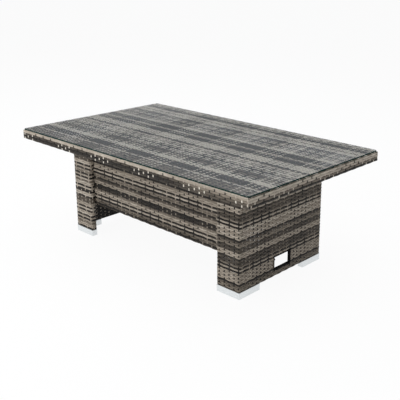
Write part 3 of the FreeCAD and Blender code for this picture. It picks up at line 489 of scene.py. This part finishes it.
def new_group(name, inputs, outputs):
    """A shader node group with named sockets."""
    group = bpy.data.node_groups.new(name, "ShaderNodeTree")
    for label, kind, value in inputs:
        socket = group.interface.new_socket(label, in_out="INPUT", socket_type=kind)
        socket.default_value = value
    for label, kind in outputs:
        group.interface.new_socket(label, in_out="OUTPUT", socket_type=kind)
    entry = group.nodes.new("NodeGroupInput")
    leave = group.nodes.new("NodeGroupOutput")
    return group, entry, leave


def math_node(nodes, links, operation, first, second):
    """A maths node on two values, each a number or a socket."""
    node = nodes.new("ShaderNodeMath")
    node.operation = operation
    for socket, value in zip(node.inputs, (first, second)):
        if isinstance(value, (int, float)):
            socket.default_value = value
        else:
            links.new(value, socket)
    return node.outputs[0]


def scaled_node(nodes, links, value, factor, added):
    """A value times a factor, with a number added."""
    result = math_node(nodes, links, "MULTIPLY_ADD", value, factor)
    result.node.inputs[2].default_value = added
    return result


def mix_colours(nodes, links, share, first, second, blend="MIX"):
    """A colour mixed from two, each a tuple or a socket."""
    node = nodes.new("ShaderNodeMix")
    node.data_type = "RGBA"
    node.blend_type = blend
    for socket, value in ((node.inputs[0], share), (node.inputs[6], first), (node.inputs[7], second)):
        if isinstance(value, (int, float, tuple)):
            socket.default_value = value
        else:
            links.new(value, socket)
    return node.outputs[2]


def noise_node(nodes, links, vector, scale, detail):
    """A noise texture on a vector."""
    noise = nodes.new("ShaderNodeTexNoise")
    noise.inputs["Scale"].default_value = scale
    noise.inputs["Detail"].default_value = detail
    links.new(vector, noise.inputs["Vector"])
    return noise


def ramp_node(nodes, links, value, stops):
    """The colour at a value on a ramp through stops, each a position and a colour."""
    node = nodes.new("ShaderNodeValToRGB")
    elements = node.color_ramp.elements
    for element, (position, colour) in zip(elements, (stops[0], stops[-1])):
        element.position = position
        element.color = colour
    for position, colour in stops[1:-1]:
        elements.new(position).color = colour
    links.new(value, node.inputs["Fac"])
    return node.outputs["Color"]


def strand_group():
    """Colour, sheen and fine lengthwise lines of one plastic strand, from its tone."""
    group, entry, leave = new_group(
        "strand_colour",
        [("Tone", "NodeSocketFloat", 0.5), ("Along", "NodeSocketVector", (0, 0, 0))],
        [("Colour", "NodeSocketColor"), ("Roughness", "NodeSocketFloat"), ("Height", "NodeSocketFloat")],
    )
    nodes, links = group.nodes, group.links
    stretch = nodes.new("ShaderNodeMapping")
    stretch.inputs["Scale"].default_value = STRAND_LINES
    links.new(entry.outputs["Along"], stretch.inputs["Vector"])
    lines = noise_node(nodes, links, stretch.outputs[0], scale=3, detail=3).outputs["Fac"]
    place = nodes.new("ShaderNodeTexCoord")
    drift = noise_node(nodes, links, place.outputs["Object"], scale=23, detail=2).outputs["Fac"]
    shade = scaled_node(nodes, links, drift, DRIFT_SPREAD, -DRIFT_SPREAD / 2)
    fine = scaled_node(nodes, links, lines, LINE_SPREAD, -LINE_SPREAD / 2)
    tone = math_node(nodes, links, "ADD", math_node(nodes, links, "ADD", entry.outputs["Tone"], shade), fine)
    scaled = scaled_node(nodes, links, tone, TONE_SCALE, TONE_START)
    links.new(ramp_node(nodes, links, scaled, STRAND_RAMP), leave.inputs["Colour"])
    rough = scaled_node(nodes, links, lines, STRAND_ROUGH_SPREAD, STRAND_ROUGHNESS)
    links.new(rough, leave.inputs["Roughness"])
    links.new(lines, leave.inputs["Height"])
    return group


def grain_group():
    """Slight mottling, uneven gloss and a fine surface grain over one colour."""
    group, entry, leave = new_group(
        "fine_grain",
        [
            ("Colour", "NodeSocketColor", (0.5, 0.5, 0.5, 1)),
            ("Roughness", "NodeSocketFloat", 0.5),
            ("Scale", "NodeSocketFloat", 900),
            ("Mottling", "NodeSocketFloat", 0.2),
        ],
        [("Colour", "NodeSocketColor"), ("Roughness", "NodeSocketFloat"), ("Height", "NodeSocketFloat")],
    )
    nodes, links = group.nodes, group.links
    place = nodes.new("ShaderNodeTexCoord").outputs["Object"]
    fine = noise_node(nodes, links, place, scale=1, detail=4)
    links.new(entry.outputs["Scale"], fine.inputs["Scale"])
    broad = noise_node(nodes, links, place, scale=17, detail=3).outputs["Fac"]
    darker = mix_colours(nodes, links, 1.0, entry.outputs["Colour"], MOTTLE_TINT, "MULTIPLY")
    share = math_node(nodes, links, "MULTIPLY", broad, entry.outputs["Mottling"])
    links.new(mix_colours(nodes, links, share, entry.outputs["Colour"], darker), leave.inputs["Colour"])
    uneven = scaled_node(nodes, links, broad, GRAIN_ROUGH_SPREAD, -GRAIN_ROUGH_SPREAD / 2)
    links.new(math_node(nodes, links, "ADD", entry.outputs["Roughness"], uneven), leave.inputs["Roughness"])
    links.new(fine.outputs["Fac"], leave.inputs["Height"])
    return group


STRAND_GROUP = strand_group()
GRAIN_GROUP = grain_group()


def new_material(name):
    """A node material with its nodes, its links and its main shader."""
    material = bpy.data.materials.new(name)
    material.use_nodes = True
    nodes, links = material.node_tree.nodes, material.node_tree.links
    return material, nodes, links, nodes["Principled BSDF"]


def add_bump(nodes, links, shader, height, strength):
    """A fine relief on a shader."""
    bump = nodes.new("ShaderNodeBump")
    bump.inputs["Strength"].default_value = strength
    bump.inputs["Distance"].default_value = BUMP_DISTANCE
    links.new(height, bump.inputs["Height"])
    links.new(bump.outputs["Normal"], shader.inputs["Normal"])


def strand_material():
    """Extruded flat plastic strand with a soft sheen."""
    material, nodes, links, shader = new_material("woven_strand")
    tone = nodes.new("ShaderNodeAttribute")
    tone.attribute_name = "tone"
    along = nodes.new("ShaderNodeUVMap")
    along.uv_map = "along"
    colour = nodes.new("ShaderNodeGroup")
    colour.node_tree = STRAND_GROUP
    links.new(tone.outputs["Fac"], colour.inputs["Tone"])
    links.new(along.outputs["UV"], colour.inputs["Along"])
    links.new(colour.outputs["Colour"], shader.inputs["Base Color"])
    links.new(colour.outputs["Roughness"], shader.inputs["Roughness"])
    shader.inputs["Specular IOR Level"].default_value = STRAND_GLOSS
    add_bump(nodes, links, shader, colour.outputs["Height"], STRAND_BUMP)
    return material


def grained_material(name, colour, roughness, scale, mottling, bump, metallic=0.0, coat=0.0, gloss=0.5):
    """A plain finish with fine grain, mottling and uneven gloss."""
    material, nodes, links, shader = new_material(name)
    grain = nodes.new("ShaderNodeGroup")
    grain.node_tree = GRAIN_GROUP
    grain.inputs["Colour"].default_value = (*colour, 1)
    grain.inputs["Roughness"].default_value = roughness
    grain.inputs["Scale"].default_value = scale
    grain.inputs["Mottling"].default_value = mottling
    links.new(grain.outputs["Colour"], shader.inputs["Base Color"])
    links.new(grain.outputs["Roughness"], shader.inputs["Roughness"])
    shader.inputs["Metallic"].default_value = metallic
    shader.inputs["Coat Weight"].default_value = coat
    shader.inputs["Specular IOR Level"].default_value = gloss
    add_bump(nodes, links, shader, grain.outputs["Height"], bump)
    return material


def glass_material():
    """Clear sheet with ground edges of a green so deep that nothing is seen through them."""
    material, nodes, links, shader = new_material("clear_glass")
    shader.inputs["IOR"].default_value = 1.5
    face = nodes.new("ShaderNodeNewGeometry")
    parts = nodes.new("ShaderNodeSeparateXYZ")
    links.new(face.outputs["True Normal"], parts.inputs["Vector"])
    flat = math_node(nodes, links, "ABSOLUTE", parts.outputs["Z"], 0)
    level = math_node(nodes, links, "GREATER_THAN", flat, GLASS_LEVEL_LIMIT)
    colour = mix_colours(nodes, links, level, GLASS_EDGE_COLOUR, GLASS_COLOUR)
    links.new(colour, shader.inputs["Base Color"])
    links.new(level, shader.inputs["Transmission Weight"])
    links.new(math_node(nodes, links, "MULTIPLY", level, GLASS_GLOSS), shader.inputs["Specular IOR Level"])
    place = nodes.new("ShaderNodeTexCoord")
    ripple = nodes.new("ShaderNodeTexNoise")
    ripple.inputs["Scale"].default_value = 6
    links.new(place.outputs["Object"], ripple.inputs["Vector"])
    rough = math_node(nodes, links, "MULTIPLY", ripple.outputs["Fac"], GLASS_ROUGHNESS)
    links.new(rough, shader.inputs["Roughness"])
    return material


FINISHES = {"woven_rattan": strand_material(), "clear_glass": glass_material()}
FINISHES.update((name, grained_material(name, **look)) for name, look in GRAINED_LOOKS.items())
STRAND = FINISHES["woven_rattan"]

slot_of = {part["node"]: part["material_slot"] for part in frame["record"]["subparts"]}
for node_name, node in frame["nodes"].items():
    node.data.materials.clear()
    node.data.materials.append(FINISHES[slot_of[node_name]])


# The woven top.


def make_deck():
    """Level strands of the deck, in two halves, and the stakes that they cross."""
    low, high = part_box("top_weave")
    height = high.z - DECK_DEPTH
    x_span = (low.x + DECK_END_MARGIN, high.x - DECK_END_MARGIN)
    y_end = high.y - DECK_SIDE_MARGIN
    tones = letters(TOP_ROWS)
    gap = 2 * y_end / (len(tones) - 1)
    half = len(tones) // 2
    halves = (("top_strands_front", range(half)), ("top_strands_back", range(half, len(tones))))
    for name, rows in halves:
        bm = new_weave()
        patterns = [
            strand_on_deck(x_span, DECK_FIRST_STAKE, DECK_PITCH, over, height, DECK_STRAND_WIDTH)
            for over in (0, 1)
        ]
        for row in rows:
            tone = DECK_TONE_SHARE * tones[row] + DECK_TONE_SHIFT + DECK_JITTER_SHARE * jitter()
            lay(bm, patterns[row % 2], Vector((0, -y_end + gap * row, 0)), tone)
        piece = new_piece(name, bm, "top", STRAND)
        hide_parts("top_weave")
    bm = new_weave()
    number = math.ceil((x_span[0] - DECK_FIRST_STAKE) / DECK_PITCH)
    while DECK_FIRST_STAKE + DECK_PITCH * number < x_span[1]:
        middle = Vector((DECK_FIRST_STAKE + DECK_PITCH * number, 0, height))
        # Light stakes carry the same painted highlight as the rim's light stakes.
        tone = STAKE_LIGHT_AND_GLINT if in_first_group(number, RIM_GROUP_SHIFT) else DECK_STAKE_DARK
        stake(bm, middle, Vector((0, 1, 0)), Vector((0, 0, 1)), 2 * y_end, tone, DECK_STAKE_WIDTH)
        number += 1
    new_piece("top_stakes", bm, "top", STRAND)


def make_rim():
    """Strands that run round the four sides of the top, with short stakes."""
    low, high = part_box("top_weave")
    x, y = high.x, high.y
    route = Route([(-x, -y), (x, -y), (x, y), (-x, y)], RIM_RADIUS, True, RIM_KNOTS)
    start, stop = RIM_KNOTS[0][1], RIM_KNOTS[-1][1]
    row_tones = [letters(rows) for rows in (RIM_FRONT_ROWS, RIM_NEAR_ROWS, RIM_SIDE_ROWS)]
    bm = new_weave()
    for index, (z, tilt, inset) in enumerate(RIM_ROWS):
        width = RIM_EDGE_STRAND_WIDTH if index == len(RIM_ROWS) - 1 else RIM_STRAND_WIDTH
        pattern = strand_on_route(route, start, stop, index % 2, True, tilt, WEAVE_DEPTH + inset, width)
        lay(bm, pattern, Vector((0, 0, low.z + z)), 0.0)
        front, near, side = [tones[index] + jitter() for tones in row_tones]
        for face in list(bm.faces)[-len(pattern.polygons):]:
            place = face.calc_center_median().x
            tone = front + (near - front) * min(max((place - RIM_NEAR_START) / RIM_NEAR_BLEND, 0), 1)
            set_tone(bm, [face], side if abs(place) > x - RIM_RADIUS else tone)
    piece = new_piece("rim_strands", bm, "top", STRAND)
    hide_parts("top_weave")
    bm = new_weave()
    heights = (low.z + RIM_STAKE_BOTTOM, low.z + RIM_STAKE_SPLIT, high.z - RIM_STAKE_TOP)
    for number in range(math.ceil(start), math.floor(stop) + 1):
        point, out = route.at(number)
        # The painted highlight is full only on the lower stakes of the long sides. It is capped on the ends
        # and on the upper stakes.
        lower_limit = RIM_SIDE_GLINT_LIMIT if abs(point.x) > x - RIM_RADIUS else STAKE_LIGHT_AND_GLINT
        for span, limit in zip(zip(heights, heights[1:]), (lower_limit, RIM_UPPER_GLINT_LIMIT)):
            upright_stake(bm, point - out * WEAVE_DEPTH, out, span, min(rim_stake_tone(number), limit))
    new_piece("rim_stakes", bm, "top", STRAND)


# The woven base.


def end_knots(side, leg, width, step, inside, inner_length):
    """Where the stake numbers lie round one end: leg, face, other leg and back along the inner faces."""
    knots = [
        (0, END_START), (0.046, 1), (0.100, 3), (0.124, 4), (leg + 0.087, 8), (leg + 0.183, 12),
        (leg + 0.329, 18), (leg + 0.378, 20), (leg + 0.433, 22),
    ]
    if side == "right":
        knots += [(leg + width, 26.4), (2 * leg + width, 31)]
    else:
        knots += [(leg + width, 26.2), (leg + width + 0.025, 27), (leg + width + 0.121, 30)]
        knots += [(2 * leg + width, 30.4)]
    distance = 2 * leg + width
    for length, number in zip((step, inside, inner_length, inside, step), END_INSIDE_NUMBERS[side]):
        distance += length
        knots.append((distance, number))
    return knots


def number_at(route, x, y):
    """The stake number where a route passes closest to a point."""

    def distance(step):
        return (route.at(step / NUMBER_STEPS + END_START)[0] - Vector((x, y, 0))).length

    return min(range(END_STAKES * NUMBER_STEPS + 1), key=distance) / NUMBER_STEPS + END_START


def make_end(side):
    """Strands that run round one end of the base and its two legs, outside and inside."""
    has_hole = side == "right"
    low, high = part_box(f"end_weave_{side}")
    leg_low, leg_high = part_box(f"leg_weave_front_{side}")
    outer, inner = (high.x, low.x) if has_hole else (-low.x, -high.x)
    foot = leg_low.x if has_hole else -leg_high.x
    y_out, y_in = -leg_low.y, -leg_high.y
    corners = [
        (foot, -y_out), (outer, -y_out), (outer, y_out), (foot, y_out),
        (foot, y_in), (inner, y_in), (inner, -y_in), (foot, -y_in),
    ]
    knots = end_knots(side, outer - foot, 2 * y_out, y_out - y_in, inner - foot, 2 * y_in)
    route = Route(corners, END_RADIUS, True, knots)
    if not has_hole:
        route.points = [Vector((-point.x, -point.y)) for point in route.points]
    bottom, top = low.z, high.z
    strand = END_STRAND_WIDTH[side]
    hole_low, hole_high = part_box("foot_hole_liner")
    hole_half, wide_half = hole_high.y, hole_high.y + HOLE_FLARE
    wide_low = bottom + HOLE_INNER_SILL
    if has_hole:
        outer_hole = [number_at(route, outer, y) for y in (-hole_half, hole_half)]
        inner_hole = [number_at(route, inner, y) for y in (wide_half, -wide_half)]
    bm = new_weave()
    whole = [strand_on_route(route, END_START, END_STOP, over, True, width=strand) for over in (0, 1)]
    for row, tone in enumerate(letters(END_ROWS[side])):
        z = bottom + END_FIRST_ROW[side] + END_ROW_GAP[side] * row
        if z > top - TOP_MARGIN:
            break
        over = (row + 1) % 2 if has_hole else row % 2
        tone += jitter()
        spans = []
        if z < bottom + HALF_ROW:
            z = bottom + LOWEST_ROW
            thin = strand_on_route(route, END_START, END_STOP, over, True, width=LOWEST_STRAND_WIDTH)
            lay(bm, thin, Vector((0, 0, z)), tone)
        elif has_hole and hole_low.z - HALF_ROW < z < hole_high.z + HALF_ROW:
            spans = [(outer_hole[1], inner_hole[0]), (inner_hole[1] - END_STAKES, outer_hole[0])]
        elif has_hole and wide_low - HALF_ROW < z < hole_high.z + HALF_ROW:
            spans = [(inner_hole[1] - END_STAKES, inner_hole[0])]
        else:
            lay(bm, whole[over], Vector((0, 0, z)), tone)
        for start, stop in spans:
            cut = strand_on_route(route, start, stop, over, False, width=strand)
            lay(bm, cut, Vector((0, 0, z)), tone)
    edge = strand_on_route(route, END_START, END_STOP, 1, True, EDGE_TILT, EDGE_DEPTH)
    lay(bm, edge, Vector((0, 0, bottom + EDGE_HEIGHT)), TONES["M"])
    # Painted shade on the strands that look in under the table.
    paint_inside_shade(bm)
    piece = new_piece(f"end_strands_{side}", bm, "base", STRAND)
    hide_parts(f"end_weave_{side}", f"leg_weave_front_{side}", f"leg_weave_back_{side}")
    bm = new_weave()
    stake_low, stake_high = bottom + END_STAKE_BOTTOM, top - END_STAKE_TOP
    above = (hole_high.z + HOLE_STAKE_GAP, stake_high)
    for number in range(END_STAKES):
        point, out = route.at(number)
        spans = [(stake_low, stake_high)]
        if has_hole and point.x > outer - NEAR_HOLE and abs(point.y) < hole_half + NEAR_HOLE:
            spans = [(stake_low, hole_low.z - HOLE_STAKE_GAP), above]
        elif has_hole and abs(point.x - inner) < NEAR_HOLE and abs(point.y) < wide_half + NEAR_HOLE:
            spans = [(stake_low, wide_low - HOLE_STAKE_GAP), above]
        for span in spans:
            upright_stake(bm, point - out * WEAVE_DEPTH, out, span, end_stake_tone(side, number))
    new_piece(f"end_stakes_{side}", bm, "base", STRAND)


def make_skirt(side):
    """Strands along one long side between the legs, on its outer and its inner face and under its edge."""
    low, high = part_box(f"skirt_weave_{side}")
    knots = [(low.x, SKIRT_FIRST_NUMBER), *SKIRT_KNOTS, (high.x, SKIRT_LAST_NUMBER)]
    x_span = (low.x - SKIRT_OVERLAP, high.x + SKIRT_OVERLAP)
    stake_span = (low.z + SKIRT_STAKE_MARGIN / 2, high.z - SKIRT_STAKE_MARGIN / 2)
    bm, stakes = new_weave(), new_weave()
    for y, out_y in ((low.y, -1), (high.y, 1)):
        ends = [(x, y) for x in x_span]
        marks = [(x - low.x, number) for x, number in knots]
        if out_y > 0:
            ends = ends[::-1]
            marks = [(high.x - x, -number) for x, number in knots[::-1]]
        start, stop = marks[0][1], marks[-1][1]
        route = Route(ends, 0, False, marks)
        patterns = [
            strand_on_route(route, start, stop, over, False, width=SKIRT_STRAND_WIDTH) for over in (0, 1)
        ]
        for row, tone in enumerate(letters(SKIRT_ROWS)):
            z = low.z + SKIRT_FIRST_ROW + SKIRT_ROW_GAP * row
            if z > high.z - TOP_MARGIN:
                break
            # Strand tones are scaled down here as painted shade under the top's overhang.
            lay(bm, patterns[(row + 1) % 2], Vector((0, 0, z)), SKIRT_SHADE_SHARE * tone + jitter())
        for number in range(math.ceil(start), math.floor(stop) + 1):
            point, out = route.at(number)
            tone = skirt_stake_tone(-out_y * number)
            upright_stake(stakes, point - out * WEAVE_DEPTH, out, stake_span, tone)
    under_rows = (low.y + UNDER_STRAND_INSET, (low.y + high.y) / 2, high.y - UNDER_STRAND_INSET)
    height = low.z + UNDER_STRAND_HEIGHT
    for index, y in enumerate(under_rows):
        under = strand_on_deck(
            x_span, UNDER_FIRST_STAKE, UNDER_PITCH, index % 2, height, UNDER_STRAND_WIDTH
        )
        lay(bm, under, Vector((0, y, 0)), TONES["M"] + jitter())
    piece = new_piece(f"skirt_strands_{side}", bm, "base", STRAND)
    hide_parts(f"skirt_weave_{side}")
    new_piece(f"skirt_stakes_{side}", stakes, "base", STRAND)


def make_valve_spring():
    """The coil round the release pin, built at rest; the real one shortens as the pin is pushed."""
    low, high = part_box("valve_spring")
    radius = (high.x - low.x) / 2 - SPRING_WIRE
    centre = Vector(((low.x + high.x) / 2, (low.y + high.y) / 2, low.z + SPRING_WIRE))
    rise = high.z - low.z - 2 * SPRING_WIRE
    upright = Matrix.Rotation(math.radians(90), 4, "X")
    start = Matrix.Translation(centre + Vector((radius, 0, 0)))
    bm = bmesh.new()
    bmesh.ops.create_circle(bm, segments=SPRING_WIRE_SIDES, radius=SPRING_WIRE, matrix=start @ upright)
    steps = SPRING_STEPS_PER_TURN * SPRING_TURNS
    bmesh.ops.spin(
        bm, geom=list(bm.verts) + list(bm.edges), cent=centre, axis=(0, 0, 1),
        dvec=(0, 0, rise / steps), angle=math.tau * SPRING_TURNS, steps=steps, use_duplicate=False,
    )
    rims = [edge for edge in bm.edges if edge.is_boundary]
    bmesh.ops.holes_fill(bm, edges=rims, sides=SPRING_WIRE_SIDES)
    bmesh.ops.recalc_face_normals(bm, faces=list(bm.faces))
    spring = new_piece("valve_coil", bm, "base", FINISHES["plated_steel"])
    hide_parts("valve_spring")
    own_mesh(spring)


make_deck()
make_rim()
make_end("right")
make_end("left")
make_skirt("front")
make_skirt("back")
make_valve_spring()


# The room, the lamps and the camera.


def make_floor():
    """A plain pale floor, white to the camera save for a trace of its shadows."""
    bm = bmesh.new()
    bmesh.ops.create_grid(bm, x_segments=1, y_segments=1, size=FLOOR_REACH)
    mesh = bpy.data.meshes.new("floor")
    bm.to_mesh(mesh)
    bm.free()
    floor = bpy.data.objects.new("floor", mesh)
    bpy.context.collection.objects.link(floor)
    material, nodes, links, shader = new_material("pale_floor")
    shader.inputs["Base Color"].default_value = (0.9, 0.9, 0.9, 1)
    shader.inputs["Roughness"].default_value = 0.9
    path = nodes.new("ShaderNodeLightPath")
    seen = math_node(nodes, links, "MAXIMUM", path.outputs["Is Camera Ray"], path.outputs["Is Glossy Ray"])
    seen = math_node(nodes, links, "MAXIMUM", seen, path.outputs["Is Transmission Ray"])
    share = math_node(nodes, links, "MULTIPLY", seen, FLOOR_GLOW_SHARE)
    glow = nodes.new("ShaderNodeEmission")
    glow.inputs["Strength"].default_value = 1.0
    blend = nodes.new("ShaderNodeMixShader")
    links.new(share, blend.inputs["Fac"])
    links.new(shader.outputs["BSDF"], blend.inputs[1])
    links.new(glow.outputs["Emission"], blend.inputs[2])
    links.new(blend.outputs["Shader"], nodes["Material Output"].inputs["Surface"])
    mesh.materials.append(material)


def make_world():
    """Surroundings that are white round the horizon and a soft grey above."""
    world = bpy.data.worlds.new("studio")
    bpy.context.scene.world = world
    world.use_nodes = True
    nodes, links = world.node_tree.nodes, world.node_tree.links
    background = nodes["Background"]
    place = nodes.new("ShaderNodeTexCoord")
    split = nodes.new("ShaderNodeSeparateXYZ")
    links.new(place.outputs["Generated"], split.inputs["Vector"])
    links.new(ramp_node(nodes, links, split.outputs["Z"], WORLD_RAMP), background.inputs["Color"])
    background.inputs["Strength"].default_value = 1.0


def make_lamp(name, place, target, size, power):
    """A rectangular lamp that faces a target."""
    data = bpy.data.lights.new(name, "AREA")
    data.shape = "RECTANGLE"
    data.size, data.size_y = size
    data.energy = power
    lamp = bpy.data.objects.new(name, data)
    bpy.context.collection.objects.link(lamp)
    lamp.location = place
    lamp.rotation_euler = (Vector(target) - Vector(place)).to_track_quat("-Z", "Y").to_euler()


def make_camera():
    """The photograph's viewing angle."""
    data = bpy.data.cameras.new("camera")
    data.sensor_width = 36
    data.lens = 62.055
    data.shift_x = -0.1125
    data.shift_y = -0.125
    camera = bpy.data.objects.new("camera", data)
    bpy.context.collection.objects.link(camera)
    camera.location = (2.2110, -2.1103, 1.3088)
    camera.rotation_euler = [math.radians(angle) for angle in (74.548, -0.529, 41.893)]
    bpy.context.scene.camera = camera


make_floor()
make_world()
make_lamp("front_softbox", place=(-0.3, -3.3, 1.45), target=(0, 0, 0.25), size=(2.2, 1.5), power=33)
make_lamp("over_softbox", place=(-1.2, -0.1, 3.4), target=(-1.2, -0.1, 0.3), size=(6.0, 5.0), power=141)
make_camera()
bpy.context.scene.view_settings.view_transform = "Standard"
